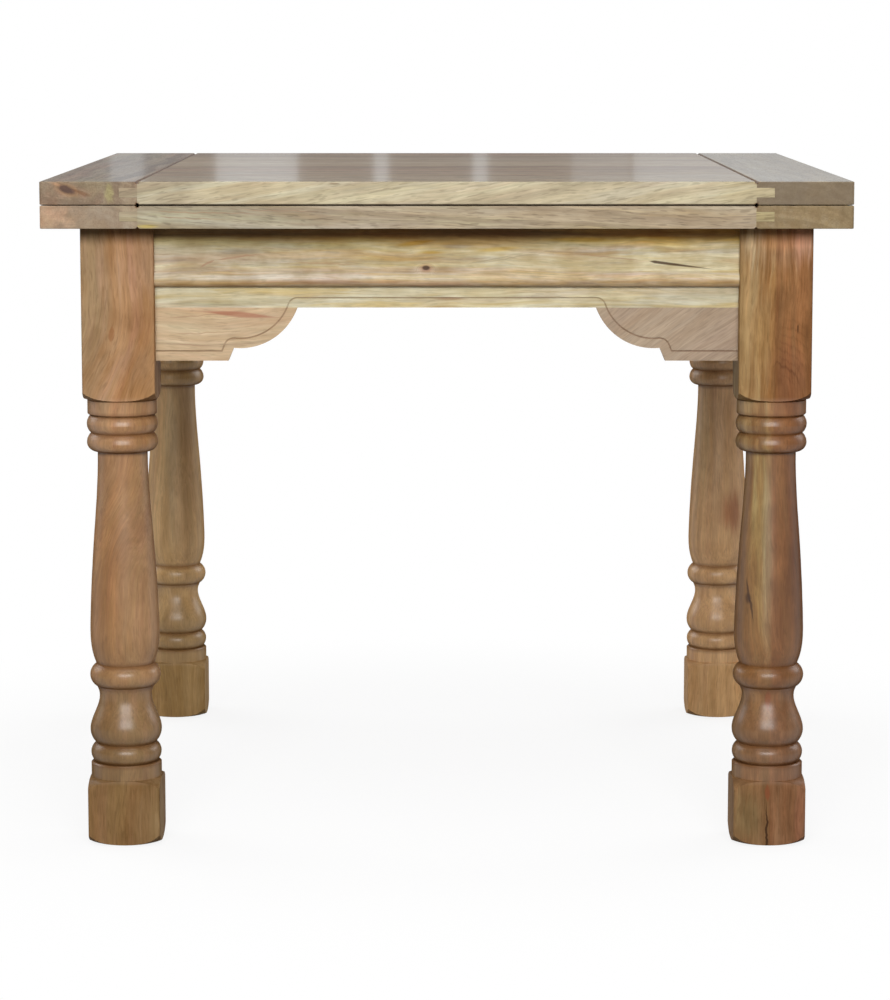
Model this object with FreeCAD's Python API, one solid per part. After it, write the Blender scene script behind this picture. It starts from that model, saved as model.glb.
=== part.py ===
import FreeCAD, Part
import math
import os

# Fold-over dining table: two equal tops lie one on the other, the pair slides half its
# width along the frame, and the upper top then swings over on end hinges to double the table.
# Millimetres. X runs along the slide, Y from front to back, Z up from the floor.
# The origin is on the floor, midway between the four feet.

V = FreeCAD.Vector
UP = V(0, 0, 1)

# Closed table
top_width = 900.0
top_depth = 900.0
table_height = 760.0
overhang = 40.0

# Leaves: boards along X between two end boards that run front to back
leaf_thickness = 25.5
leaf_gap = 1.0
leaf_corner_radius = 3.0
leaf_arris = 1.0
boards_per_leaf = 6
end_board_width = 108.0
tongue_length = 20.0
tongue_thickness = 10.5
tongue_drop = 6.8
tongue_end_gap = 0.1
seam_chamfer = 2.5
glue_clearance = 0.1

# Legs: square stock, turned between the top block and the foot block
leg_stock = 82.0
leg_edge_round = 2.0
block_tail = 45.0
shoulder_rise = 12.0
shoulder_bow = 2.4
quirk_depth = 1.0
quirk_height = 1.4
turning_inset = 0.6
upper_band_height = 16.5
upper_band_inset = 1.6
band_arris = 1.5
collar_ring_height = 21.0
collar_groove_depth = 5.4
shaft_top_cut = 12.6
shaft_swell_cut = 1.7
shaft_swell_height = 50.0
shaft_heel_cut = 3.2
shaft_heel_height = 16.0
shaft_foot_cut = 8.0
ankle_ring_height = 26.0
vase_neck_cut = 11.2
vase_neck_drop = 12.0
vase_top_cut = 8.0
vase_swell_height = 21.0
vase_height = 66.0
vase_foot_cut = 6.6
foot_ring_height = 22.0
foot_ring_groove = 5.6
foot_band_height = 17.0
foot_block_height = 75.5
foot_toe_height = 15.0
foot_toe_inset = 25.0
foot_toe_bow = 4.0
corner_relief = 1.0

# Aprons: a moulded upper board, a thinner rail under it, and scrolled brackets by the legs
apron_height = 66.0
apron_thickness = 24.0
apron_setback = 10.0
bead_height = 17.4
bead_proud = 5.2
bead_undercut = 0.8
rail_height = 24.0
rail_setback = 16.0
bracket_drop = 60.0
bracket_length = 160.0
bracket_flat = 82.0
bracket_step_run = 6.0
bracket_step_rise = 14.5
bracket_bow = 14.8
line_inset = 11.0
line_width = 1.8
line_depth = 1.2
tenon_length = 30.0
tenon_thickness = 10.0
tenon_height = 46.0
tenon_drop = 8.0
tenon_end_gap = 1.0

# Corner blocks, with the bolts that draw the legs in
leg_flat = 12.0
block_thickness = 28.0
block_height = 50.0
block_drop = 8.0
bolt_radius = 4.0
bolt_depth = 44.0
bolt_tail = 3.0
bolt_point = 6.0
bolt_tip_radius = 1.3
bolt_clearance = 0.4
thread_clearance = 0.05
washer_radius = 11.0
washer_thickness = 1.6
nut_radius = 7.0
nut_top_radius = 5.6
nut_height = 8.0
wing_radius = 7.0
wing_thickness = 3.0
wing_reach = 10.0
block_screw_radius = 2.0
block_screw_head = 4.0
block_screw_seat = 10.0
block_screw_bite = 13.0

# Slide: grooved guide rails in the frame, tongued runners under the lower leaf
guide_block_gap = 22.4
guide_width = 30.0
guide_height = 40.0
guide_housing = 6.0
groove_drop = 14.0
groove_height = 12.0
groove_depth = 10.0
runner_width = 30.0
runner_height = 36.0
runner_clearance = 0.5
stop_thickness = 8.0
stop_clearance = 0.3
runner_screws_each = 3
runner_screw_radius = 2.0
runner_screw_head = 4.2
runner_screw_bite = 15.0
runner_screw_inset = 30.0
glide_thickness = 1.2
glide_width = 14.0
glide_end_gap = 15.0
glide_clearance = 0.3

# Hinges at the +X end of the leaves, let in flush
hinges = 3
hinge_pitch = 320.0
hinge_length = 64.0
hinge_plate_width = 32.0
hinge_plate_thickness = 2.0
hinge_offset = 0.75
hinge_recess_clearance = 0.1
knuckles = 5
knuckle_radius = 3.0
knuckle_gap = 0.3
knuckle_clearance = 0.5
pin_radius = 1.5
pin_clearance = 0.05
hinge_screw_radius = 1.7
hinge_screw_head = 3.4
hinge_screw_length = 14.0
hinge_screw_inset = 8.0
hinge_screw_row = 12.0
screw_slot = 0.9
screw_tip_length = 4.0
screw_tip_radius = 0.5
screw_hole_clearance = 0.05

# Levels and places that follow from the sizes above
leaf_level = table_height - 2 * leaf_thickness - leaf_gap
upper_level = leaf_level + leaf_thickness + leaf_gap
fold_level = leaf_level + leaf_thickness + leaf_gap / 2
frame_top = leaf_level - glide_clearance - glide_thickness
rail_top = frame_top - apron_height
bracket_top = rail_top - rail_height
bracket_bottom = bracket_top - bracket_drop
leg_half = leg_stock / 2
frame_half_x = top_width / 2 - overhang
frame_half_y = top_depth / 2 - overhang
apron_inner = apron_setback + apron_thickness
inner_half_x = frame_half_x - apron_inner
inner_half_y = frame_half_y - apron_inner
span_x = 2 * (frame_half_x - leg_stock)
span_y = 2 * (frame_half_y - leg_stock)
panel_half = top_width / 2 - end_board_width
travel = top_width / 2
hinge_x = top_width / 2 + hinge_offset
block_level = frame_top - block_drop - block_height
block_outer = leg_stock - leg_flat
block_inner = block_outer + block_thickness * math.sqrt(2)
bolt_level = block_level + block_height / 2
guide_level = frame_top - guide_height
guide_outside = frame_half_y - leg_stock - block_inner + apron_inner - guide_block_gap
guide_spread = guide_outside - guide_width / 2
guide_inside = guide_outside - guide_width
runner_length = 2 * (inner_half_x - stop_thickness - stop_clearance) - travel
runner_end = inner_half_x - stop_thickness - stop_clearance
runner_outside = guide_inside - runner_clearance


class Outline:
    """An outline drawn edge by edge from a start point, in the plane of two axes."""

    def __init__(self, start, across=V(1, 0, 0), up=UP):
        self.across = across
        self.up = up
        self.start = start
        self.here = start
        self.edges = []

    def at(self, point):
        return self.across * point[0] + self.up * point[1]

    def line(self, *points):
        for point in points:
            self.edges.append(Part.makeLine(self.at(self.here), self.at(point)))
            self.here = point
        return self

    def arc(self, middle, end):
        curve = Part.Arc(self.at(self.here), self.at(middle), self.at(end))
        self.edges.append(curve.toShape())
        self.here = end
        return self

    def bowed(self, end, bow):
        """An arc whose middle stands off its chord by bow, to the left of its run."""
        run = (end[0] - self.here[0], end[1] - self.here[1])
        length = math.hypot(*run)
        middle = ((self.here[0] + end[0]) / 2 - bow * run[1] / length,
                  (self.here[1] + end[1]) / 2 + bow * run[0] / length)
        return self.arc(middle, end)

    def swell(self, end):
        """An arc that stands upright at whichever of its ends lies further out."""
        outer, inner = (end, self.here) if end[0] > self.here[0] else (self.here, end)
        bulge = outer[0] - inner[0]
        rise = inner[1] - outer[1]
        radius = (rise ** 2 + bulge ** 2) / (2 * bulge)
        half_turn = math.atan2(rise, radius - bulge) / 2
        middle = (outer[0] - radius + radius * math.cos(half_turn),
                  outer[1] + radius * math.sin(half_turn))
        return self.arc(middle, end)

    def ring(self, widest, end):
        """A turned ring: two arcs that meet upright at the widest point."""
        return self.swell(widest).swell(end)

    def curve(self, *points):
        spline = Part.BSplineCurve()
        spline.interpolate([self.at(point) for point in (self.here,) + points])
        self.edges.append(spline.toShape())
        self.here = points[-1]
        return self

    def wire(self):
        if self.here != self.start:
            self.line(self.start)
        return Part.Wire(self.edges)

    def face(self):
        return Part.Face(self.wire())


def block(low, high):
    """A box between two opposite corners."""
    return Part.makeBox(high[0] - low[0], high[1] - low[1], high[2] - low[2], V(*low))


def turned(shape, degrees, place=V(0, 0, 0)):
    """A copy turned about the Z axis, then moved."""
    copy = shape.copy()
    copy.rotate(V(0, 0, 0), UP, degrees)
    copy.translate(place)
    return copy


def screw(head_at, direction, length, radius, head, room=0.0):
    """A countersunk wood screw with its head flush at head_at; room widens it into its hole."""
    sink = head - radius
    body = Part.makeCone(head + room, radius + room, sink, head_at, direction)
    shank_length = length - sink - screw_tip_length
    shank = Part.makeCylinder(radius + room, shank_length, head_at + direction * sink, direction)
    tip_at = head_at + direction * (length - screw_tip_length)
    tip_length = screw_tip_length + room
    point = Part.makeCone(radius + room, screw_tip_radius + room, tip_length, tip_at, direction)
    body = body.fuse([shank, point]).removeSplitter()
    if room:
        return body
    past = 2 * head
    slot = Part.makeBox(screw_slot, 2 * past, screw_slot, V(-screw_slot / 2, -past, 0))
    slot.Placement = FreeCAD.Placement(head_at, FreeCAD.Rotation(UP, direction)).multiply(slot.Placement)
    return body.cut(slot)


def hole_for(spec):
    """The pilot hole of a screw given by its place, direction, length, radius and head."""
    return screw(*spec, room=screw_hole_clearance)


def leg_turning():
    """The turned solid of a leg: wide enough at both blocks to leave the square stock whole."""
    corner = leg_half * math.sqrt(2) + corner_relief
    widest = leg_half - turning_inset
    block_bottom = bracket_bottom - block_tail
    band_top = block_bottom - quirk_height
    collar = band_top - upper_band_height
    shaft_top = collar - 2 * collar_ring_height
    foot_band = foot_block_height + foot_band_height
    vase = foot_band + foot_ring_height
    ankle = vase + vase_height
    shaft = ankle + ankle_ring_height
    band = leg_half - upper_band_inset
    collar_groove = leg_half - collar_groove_depth
    swell = leg_half - shaft_swell_cut
    swell_level = shaft + shaft_swell_height
    shaft_tip = leg_half - shaft_top_cut
    profile = Outline((0, 0))
    profile.line((corner - foot_toe_inset, 0))
    profile.bowed((corner, foot_toe_height), -foot_toe_bow)
    profile.line((corner, foot_block_height - shoulder_rise))
    profile.bowed((widest, foot_block_height), -shoulder_bow)
    profile.line((widest, foot_band - band_arris), (widest - band_arris, foot_band))
    profile.line((leg_half - foot_ring_groove, foot_band))
    profile.ring((widest, foot_band + foot_ring_height / 2), (leg_half - vase_foot_cut, vase))
    profile.curve((widest, vase + vase_swell_height),
                  (leg_half - vase_neck_cut, ankle - vase_neck_drop),
                  (leg_half - vase_top_cut, ankle))
    profile.ring((widest, ankle + ankle_ring_height / 2), (leg_half - shaft_foot_cut, shaft))
    profile.curve((leg_half - shaft_heel_cut, shaft + shaft_heel_height),
                  (swell, swell_level),
                  ((swell + shaft_tip) / 2, (swell_level + shaft_top) / 2),
                  (shaft_tip, shaft_top))
    profile.ring((widest, shaft_top + collar_ring_height / 2),
                 (collar_groove, shaft_top + collar_ring_height))
    profile.ring((widest, collar - collar_ring_height / 2), (collar_groove, collar))
    profile.line((band - band_arris, collar), (band, collar + band_arris), (band, band_top))
    profile.line((band - quirk_depth, (band_top + block_bottom) / 2), (band, block_bottom))
    profile.bowed((corner, block_bottom + shoulder_rise), -shoulder_bow)
    profile.line((corner, frame_top), (0, frame_top))
    return profile.face().revolve(V(0, 0, 0), UP, 360)


def leg_mortise():
    """The pocket for the tenon of the apron that leaves the leg along +X."""
    level = frame_top - tenon_drop
    middle = -leg_half + apron_setback + apron_thickness / 2
    half = tenon_thickness / 2 + glue_clearance
    bottom = level - tenon_height - glue_clearance
    return block((leg_half - tenon_length - tenon_end_gap, middle - half, bottom),
                 (leg_half + glue_clearance, middle + half, level + glue_clearance))


def leg():
    """One leg about its own axis, with the table's middle towards +X +Y."""
    stock = block((-leg_half, -leg_half, 0), (leg_half, leg_half, frame_top))
    upright = [edge for edge in stock.Edges if edge.BoundBox.ZLength > leg_stock]
    body = stock.makeFillet(leg_edge_round, upright).common(leg_turning())
    mortise = leg_mortise()
    other_mortise = mortise.mirror(V(0, 0, 0), V(1, -1, 0))
    flat = corner_prism(-leg_half, frame_top)
    return body.cut([mortise, other_mortise, flat, hanger_bolt(thread_clearance)]).removeSplitter()


def corner_prism(near, top):
    """A bar across the corner, from one line at the distance near from both axes to the other."""
    outline = Outline((block_outer - near, near), up=V(0, 1, 0))
    outline.line((block_inner - near, near), (near, block_inner - near), (near, block_outer - near))
    face = outline.face()
    face.translate(V(0, 0, block_level))
    return face.extrude(V(0, 0, top - block_level))


def hanger_bolt(room=0.0):
    """A bolt along the diagonal, from deep in the leg to past the wing nut; room makes its hole."""
    inward = V(1, 1, 0).normalize()
    face_at = V(block_outer / 2, block_outer / 2, bolt_level)
    start = face_at - inward * bolt_depth
    length = bolt_depth + block_thickness + washer_thickness + nut_height + bolt_tail
    point = Part.makeCone(bolt_tip_radius + room, bolt_radius + room, bolt_point, start, inward)
    shank = Part.makeCylinder(bolt_radius + room, length - bolt_point, start + inward * bolt_point, inward)
    return point.fuse(shank).removeSplitter()


def block_screws():
    """The two screws of a corner block, one into each apron: place, direction and sizes."""
    near = apron_inner - leg_half
    along = (block_outer + block_inner) / 2 - near
    length = block_screw_seat + block_screw_bite
    places = [(V(along, near + block_screw_seat, bolt_level), V(0, -1, 0)),
              (V(near + block_screw_seat, along, bolt_level), V(-1, 0, 0))]
    return [(at, way, length, block_screw_radius, block_screw_head) for at, way in places]


def corner_block():
    """A glued and screwed block across the corner, bored for the hanger bolt."""
    cuts = [hanger_bolt(bolt_clearance)]
    well = block_screw_head + bolt_clearance
    for spec in block_screws():
        cuts.append(hole_for(spec))
        cuts.append(Part.makeCylinder(well, block_thickness, spec[0], spec[1] * -1))
    return corner_prism(apron_inner - leg_half, block_level + block_height).cut(cuts)


def washer():
    inward = V(1, 1, 0).normalize()
    at = V(block_inner / 2, block_inner / 2, bolt_level)
    disc = Part.makeCylinder(washer_radius, washer_thickness, at, inward)
    return disc.cut(hanger_bolt(bolt_clearance))


def wing_nut():
    inward = V(1, 1, 0).normalize()
    sideways = V(1, -1, 0).normalize()
    at = V(block_inner / 2, block_inner / 2, bolt_level) + inward * washer_thickness
    body = Part.makeCone(nut_radius, nut_top_radius, nut_height, at, inward)
    for way in (1, -1):
        middle = at + inward * nut_height + sideways * (way * wing_reach) - UP * (wing_thickness / 2)
        body = body.fuse(Part.makeCylinder(wing_radius, wing_thickness, middle, UP))
    return body.cut(hanger_bolt(thread_clearance)).removeSplitter()


def apron(span):
    """The upper apron board with its bead and end tenons; its leg face is the plane Y = 0."""
    inner = apron_inner
    face = apron_setback
    outline = Outline((inner, rail_top), across=V(0, 1, 0))
    outline.line((inner, frame_top), (face, frame_top), (face, rail_top + bead_height))
    outline.arc((face - bead_proud, rail_top + bead_height / 2), (face + bead_undercut, rail_top))
    board = outline.face().extrude(V(span, 0, 0))
    board.translate(V(-span / 2, 0, 0))
    middle = apron_setback + apron_thickness / 2
    level = frame_top - tenon_drop
    tenon = block((-span / 2 - tenon_length, middle - tenon_thickness / 2, level - tenon_height),
                  (span / 2 + tenon_length, middle + tenon_thickness / 2, level))
    return board.fuse(tenon).removeSplitter()


def lower_edge(span):
    """The outline of rail and brackets together, run on past its top and ends."""
    half = span / 2
    past = rail_height + line_inset
    outline = Outline((-half - past, rail_top + past))
    outline.line((-half - past, bracket_bottom), (bracket_flat - half, bracket_bottom))
    outline.line((bracket_flat + bracket_step_run - half, bracket_bottom + bracket_step_rise))
    outline.bowed((bracket_length - half, bracket_top), -bracket_bow)
    outline.line((half - bracket_length, bracket_top))
    outline.bowed((half - bracket_flat - bracket_step_run, bracket_bottom + bracket_step_rise), -bracket_bow)
    outline.line((half - bracket_flat, bracket_bottom), (half + past, bracket_bottom))
    outline.line((half + past, rail_top + past))
    return outline.wire()


def incised_line(span):
    """The shallow line that follows the lower edge at a steady distance."""
    edge = lower_edge(span)
    outer = Part.Face(edge.makeOffset2D(line_width / 2 - line_inset))
    inner = Part.Face(edge.makeOffset2D(-line_width / 2 - line_inset))
    line = outer.cut(inner).extrude(V(0, line_depth, 0))
    line.translate(V(0, rail_setback, 0))
    return line


def rail_and_brackets(span):
    """The lower rail and its two end brackets, in line with the apron's inner face."""
    plate = Part.Face(lower_edge(span)).extrude(V(0, apron_inner - rail_setback, 0))
    plate.translate(V(0, rail_setback, 0))
    plate = plate.cut(incised_line(span))
    half = span / 2
    rail = plate.common(block((-half, 0, bracket_top), (half, apron_inner, rail_top)))
    low_end = plate.common(block((-half, 0, bracket_bottom), (0, apron_inner, bracket_top)))
    high_end = plate.common(block((0, 0, bracket_bottom), (half, apron_inner, bracket_top)))
    return rail, low_end, high_end


def guide_rail(sign):
    """A rail along X, housed in the end aprons, with a groove towards the table's middle."""
    half = inner_half_x + guide_housing
    low, high = sorted((sign * guide_inside, sign * (guide_inside + guide_width)))
    body = block((-half, low, guide_level), (half, high, frame_top))
    low, high = sorted((sign * guide_inside, sign * (guide_inside + groove_depth)))
    level = frame_top - groove_drop
    return body.cut(block((-half, low, level - groove_height), (half, high, level)))


def guide_housings():
    """The pockets in the end aprons that take the guide rails."""
    pockets = []
    depth = inner_half_x + guide_housing + glue_clearance
    for way in (-1, 1):
        for sign in (-1, 1):
            x_low, x_high = sorted((way * inner_half_x, way * depth))
            y_low = sign * guide_spread - guide_width / 2 - glue_clearance
            y_high = sign * guide_spread + guide_width / 2 + glue_clearance
            pockets.append(block((x_low, y_low, guide_level - glue_clearance), (x_high, y_high, frame_top)))
    return pockets


def runner_stops():
    """Stop blocks on the end aprons beside the guide rails, in the runners' way."""
    stops = []
    for way in (-1, 1):
        for sign in (-1, 1):
            x_low, x_high = sorted((way * (inner_half_x - stop_thickness), way * inner_half_x))
            y_low, y_high = sorted((sign * (guide_inside - runner_width), sign * guide_inside))
            stops.append(block((x_low, y_low, leaf_level - runner_height), (x_high, y_high, frame_top)))
    return stops


def glide_strips():
    """Felt strips on the frame's top edges, on which the leaves slide and rest."""
    half_x = span_x / 2 - glide_end_gap
    half_y = span_y / 2 - glide_end_gap
    guide_half = inner_half_x - glide_end_gap
    middle_x = inner_half_x + apron_thickness / 2
    middle_y = inner_half_y + apron_thickness / 2
    half_width = glide_width / 2
    strips = []
    for sign in (-1, 1):
        strips.append((0, sign * middle_y, half_x, half_width))
        strips.append((0, sign * guide_spread, guide_half, half_width))
        strips.append((sign * middle_x, 0, half_width, half_y))
    return [block((x - a, y - b, frame_top), (x + a, y + b, frame_top + glide_thickness))
            for x, y, a, b in strips]


def runner(sign):
    """A runner under the lower leaf, with a tongue that slides in the guide rail's groove."""
    low, high = sorted((sign * (runner_outside - runner_width), sign * runner_outside))
    bottom = leaf_level - runner_height
    body = block((runner_end - runner_length, low, bottom), (runner_end, high, leaf_level))
    reach = guide_inside + groove_depth - runner_clearance
    low, high = sorted((sign * (runner_outside - runner_width), sign * reach))
    level = frame_top - groove_drop - runner_clearance
    tongue_bottom = level - groove_height + 2 * runner_clearance
    tongue = block((runner_end - runner_length, low, tongue_bottom), (runner_end, high, level))
    holes = [hole_for(spec) for spec in runner_screws(sign)]
    return body.fuse(tongue).removeSplitter().cut(holes)


def runner_screws(sign):
    """The screws that hold one runner to the leaf, driven from below."""
    first = runner_end - runner_length + runner_screw_inset
    step = (runner_length - 2 * runner_screw_inset) / (runner_screws_each - 1)
    middle = sign * (runner_outside - runner_width / 2)
    length = runner_height + runner_screw_bite
    return [(V(first + i * step, middle, leaf_level - runner_height), UP,
             length, runner_screw_radius, runner_screw_head) for i in range(runner_screws_each)]


def hinge_places():
    """The middles of the hinges along Y."""
    return [(i - (hinges - 1) / 2) * hinge_pitch for i in range(hinges)]


def hinge_screws(y, facing):
    """The four screws of one hinge plate; facing is 1 for the upper leaf, -1 for the lower."""
    surface = fold_level + facing * leaf_gap / 2
    first = hinge_x - hinge_plate_width + hinge_screw_inset
    reach = hinge_length / 2 - hinge_screw_inset
    return [(V(first + row * hinge_screw_row, y + end * reach, surface), UP * facing,
             hinge_screw_length, hinge_screw_radius, hinge_screw_head)
            for row in (0, 1) for end in (-1, 1)]


def hinge_plate(y, facing):
    """One half of a butt hinge: a flush plate with every second knuckle of the barrel."""
    surface = fold_level + facing * leaf_gap / 2
    z_low, z_high = sorted((surface, surface + facing * hinge_plate_thickness))
    start = y - hinge_length / 2
    back = hinge_x - hinge_plate_width
    clear = hinge_x - knuckle_radius - knuckle_clearance
    body = block((back, start, z_low), (clear, start + hinge_length, z_high))
    pitch = (hinge_length + knuckle_gap) / knuckles
    first = 0 if facing < 0 else 1
    for i in range(first, knuckles, 2):
        low = start + i * pitch
        high = low + pitch - knuckle_gap
        web = block((clear - knuckle_clearance, low, z_low), (hinge_x, high, z_high))
        barrel = Part.makeCylinder(knuckle_radius, high - low, V(hinge_x, low, fold_level), V(0, 1, 0))
        body = body.fuse([web, barrel])
    bore = hinge_pin(y, pin_clearance)
    holes = [hole_for(spec) for spec in hinge_screws(y, facing)]
    return body.removeSplitter().cut([bore] + holes)


def hinge_pin(y, room=0.0):
    """The pin of one hinge; room widens it into its bore."""
    start = V(hinge_x, y - hinge_length / 2, fold_level)
    return Part.makeCylinder(pin_radius + room, hinge_length, start, V(0, 1, 0))


def hinge_recess(y, facing):
    """The shallow seat of one plate and the hollow that clears the barrel."""
    surface = fold_level + facing * leaf_gap / 2
    room = hinge_recess_clearance
    z_low, z_high = sorted((surface - facing * leaf_gap, surface + facing * hinge_plate_thickness))
    half = hinge_length / 2 + room
    seat = block((hinge_x - hinge_plate_width - room, y - half, z_low), (hinge_x, y + half, z_high))
    hollow = Part.makeCylinder(knuckle_radius + knuckle_clearance, 2 * half,
                               V(hinge_x, y - half, fold_level), V(0, 1, 0))
    return [seat, hollow]


def leaf_blank(level):
    """A whole leaf before it is divided, with rounded corners and eased edges."""
    half_x = top_width / 2
    half_y = top_depth / 2
    body = block((-half_x, -half_y, level), (half_x, half_y, level + leaf_thickness))
    upright = [edge for edge in body.Edges if edge.BoundBox.ZLength > leaf_thickness / 2]
    body = body.makeFillet(leaf_corner_radius, upright)
    rims = [edge for edge in body.Edges if edge.BoundBox.ZLength < leaf_thickness / 2]
    return body.makeFillet(leaf_arris, rims)


def seam_grooves(level):
    """V-shaped grooves over the joints between boards and end boards, on both faces."""
    past = leaf_arris
    grooves = []
    for way in (-1, 1):
        for face, outward in ((level + leaf_thickness, 1), (level, -1)):
            outline = Outline((way * panel_half, face - outward * seam_chamfer))
            outline.line((way * panel_half - seam_chamfer - past, face + outward * past),
                         (way * panel_half + seam_chamfer + past, face + outward * past))
            groove = outline.face().extrude(V(0, top_depth, 0))
            groove.translate(V(0, -top_depth / 2, 0))
            grooves.append(groove)
    return grooves


def leaf_boards(level, holes):
    """The boards of one leaf, front to back, each with a tongue at both ends."""
    blank = leaf_blank(level)
    tongue_top = level + leaf_thickness - tongue_drop
    reach = panel_half + tongue_length
    width = top_depth / boards_per_leaf
    cuts = seam_grooves(level) + holes
    boards = []
    for i in range(boards_per_leaf):
        low = -top_depth / 2 + i * width
        strip = block((-panel_half, low, level), (panel_half, low + width, level + leaf_thickness))
        tongue = block((-reach, low, tongue_top - tongue_thickness), (reach, low + width, tongue_top))
        board = blank.common(strip).fuse(tongue).removeSplitter()
        boards.append(board.cut(cuts))
    return boards


def leaf_end(level, way, cuts):
    """An end board of one leaf, grooved from edge to edge for the boards' tongues."""
    half_y = top_depth / 2
    x_low, x_high = sorted((way * panel_half, way * top_width / 2))
    body = leaf_blank(level).common(block((x_low, -half_y, level), (x_high, half_y, level + leaf_thickness)))
    tongue_top = level + leaf_thickness - tongue_drop
    depth = panel_half + tongue_length + tongue_end_gap
    x_low, x_high = sorted((way * panel_half, way * depth))
    groove = block((x_low, -half_y, tongue_top - tongue_thickness - glue_clearance),
                   (x_high, half_y, tongue_top + glue_clearance))
    return body.cut([groove] + seam_grooves(level) + cuts)


def frame_sides():
    """Each side: its turn about Z, distance from the middle, span, and the names of its ends."""
    return {
        "front": (0, frame_half_y, span_x, ("left", "right")),
        "right": (90, frame_half_x, span_y, ("front", "back")),
        "back": (180, frame_half_y, span_x, ("right", "left")),
        "left": (270, frame_half_x, span_y, ("back", "front")),
    }


def frame_corners():
    """Each corner: its turn about Z and the place of its leg's axis."""
    x = frame_half_x - leg_half
    y = frame_half_y - leg_half
    return {
        "front_left": (0, V(-x, -y, 0)),
        "front_right": (90, V(x, -y, 0)),
        "back_right": (180, V(x, y, 0)),
        "back_left": (270, V(-x, y, 0)),
    }


def frame_pieces():
    """Every piece of the standing frame, by name."""
    pieces = {}
    one_leg = leg()
    one_block = corner_block()
    groups = {"hanger_bolts": [], "washers": [], "wing_nuts": [], "corner_block_screws": []}
    apron_cuts = guide_housings()
    for name, (turn, place) in frame_corners().items():
        pieces["leg_" + name] = turned(one_leg, turn, place)
        pieces["corner_block_" + name] = turned(one_block, turn, place)
        groups["hanger_bolts"].append(turned(hanger_bolt(), turn, place))
        groups["washers"].append(turned(washer(), turn, place))
        groups["wing_nuts"].append(turned(wing_nut(), turn, place))
        for spec in block_screws():
            groups["corner_block_screws"].append(turned(screw(*spec), turn, place))
            apron_cuts.append(turned(hole_for(spec), turn, place))
    for name, (turn, distance, span, ends) in frame_sides().items():
        place = turned(Part.Vertex(0, -distance, 0), turn).Point
        pieces["apron_" + name] = turned(apron(span), turn, place).cut(apron_cuts)
        rail, low_end, high_end = rail_and_brackets(span)
        pieces["lower_rail_" + name] = turned(rail, turn, place)
        pieces["bracket_" + name + "_" + ends[0]] = turned(low_end, turn, place)
        pieces["bracket_" + name + "_" + ends[1]] = turned(high_end, turn, place)
    pieces["guide_rail_front"] = guide_rail(-1)
    pieces["guide_rail_back"] = guide_rail(1)
    groups["runner_stops"] = runner_stops()
    groups["glide_strips"] = glide_strips()
    pieces.update({name: Part.makeCompound(solids) for name, solids in groups.items()})
    return pieces


def leaf_pieces(prefix, level, facing, board_holes):
    """The boards, end boards, hinge plates and hinge screws of one leaf."""
    pieces = {}
    for i, board in enumerate(leaf_boards(level, board_holes)):
        pieces[prefix + "_board_" + str(i + 1)] = board
    specs = [spec for y in hinge_places() for spec in hinge_screws(y, facing)]
    seats = [cut for y in hinge_places() for cut in hinge_recess(y, facing)]
    pieces[prefix + "_end_left"] = leaf_end(level, -1, [])
    pieces[prefix + "_end_right"] = leaf_end(level, 1, seats + [hole_for(spec) for spec in specs])
    plates = [hinge_plate(y, facing) for y in hinge_places()]
    pieces["hinge_plates_" + prefix] = Part.makeCompound(plates)
    pieces["hinge_screws_" + prefix] = Part.makeCompound([screw(*spec) for spec in specs])
    return pieces


def all_pieces():
    pieces = frame_pieces()
    specs = runner_screws(-1) + runner_screws(1)
    pieces.update(leaf_pieces("lower", leaf_level, -1, [hole_for(spec) for spec in specs]))
    pieces.update(leaf_pieces("upper", upper_level, 1, []))
    pieces["runner_front"] = runner(-1)
    pieces["runner_back"] = runner(1)
    pieces["runner_screws"] = Part.makeCompound([screw(*spec) for spec in specs])
    pieces["hinge_pins"] = Part.makeCompound([hinge_pin(y) for y in hinge_places()])
    return pieces


os.makedirs("parts", exist_ok=True)
for name, shape in all_pieces().items():
    shape.exportStep("parts/" + name + ".step")
    print(name, len(shape.Solids), "solid(s)", round(shape.Volume / 1000, 2), "cm3", shape.isValid())
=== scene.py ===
# %% [markdown]
# The fold-over table in its studio. The construction comes from the frame: every leg, apron, leaf
# and hinge is already there at its real size. This lesson sets up the studio and the camera, and then
# gives each piece its finish: a mango wood that changes from board to board, steel, brass and felt.

# %% Load the table
import math
import bpy
from mathutils import Euler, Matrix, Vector


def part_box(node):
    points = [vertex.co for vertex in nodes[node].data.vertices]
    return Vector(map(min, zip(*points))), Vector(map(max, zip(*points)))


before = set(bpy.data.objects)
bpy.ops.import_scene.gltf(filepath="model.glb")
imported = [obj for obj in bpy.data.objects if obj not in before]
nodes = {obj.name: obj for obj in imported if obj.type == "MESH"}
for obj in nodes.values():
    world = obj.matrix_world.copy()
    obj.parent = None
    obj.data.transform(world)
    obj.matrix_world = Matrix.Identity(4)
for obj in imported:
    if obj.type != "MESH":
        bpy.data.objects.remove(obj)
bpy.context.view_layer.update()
bpy.ops.object.select_all(action="DESELECT")

# %% [markdown]
# Most of a material is arithmetic: how far a point lies from the heart of the log, how much of a
# dark band covers it. Nodes can be wired one by one, but a sum is easier to read as a sum. Tone wraps
# one socket, and writing 1 - tone or tone * 0.5 adds the Math node for it. Any other node comes from
# add, which takes the node's type, its settings, and the values or links of its sockets.

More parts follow.
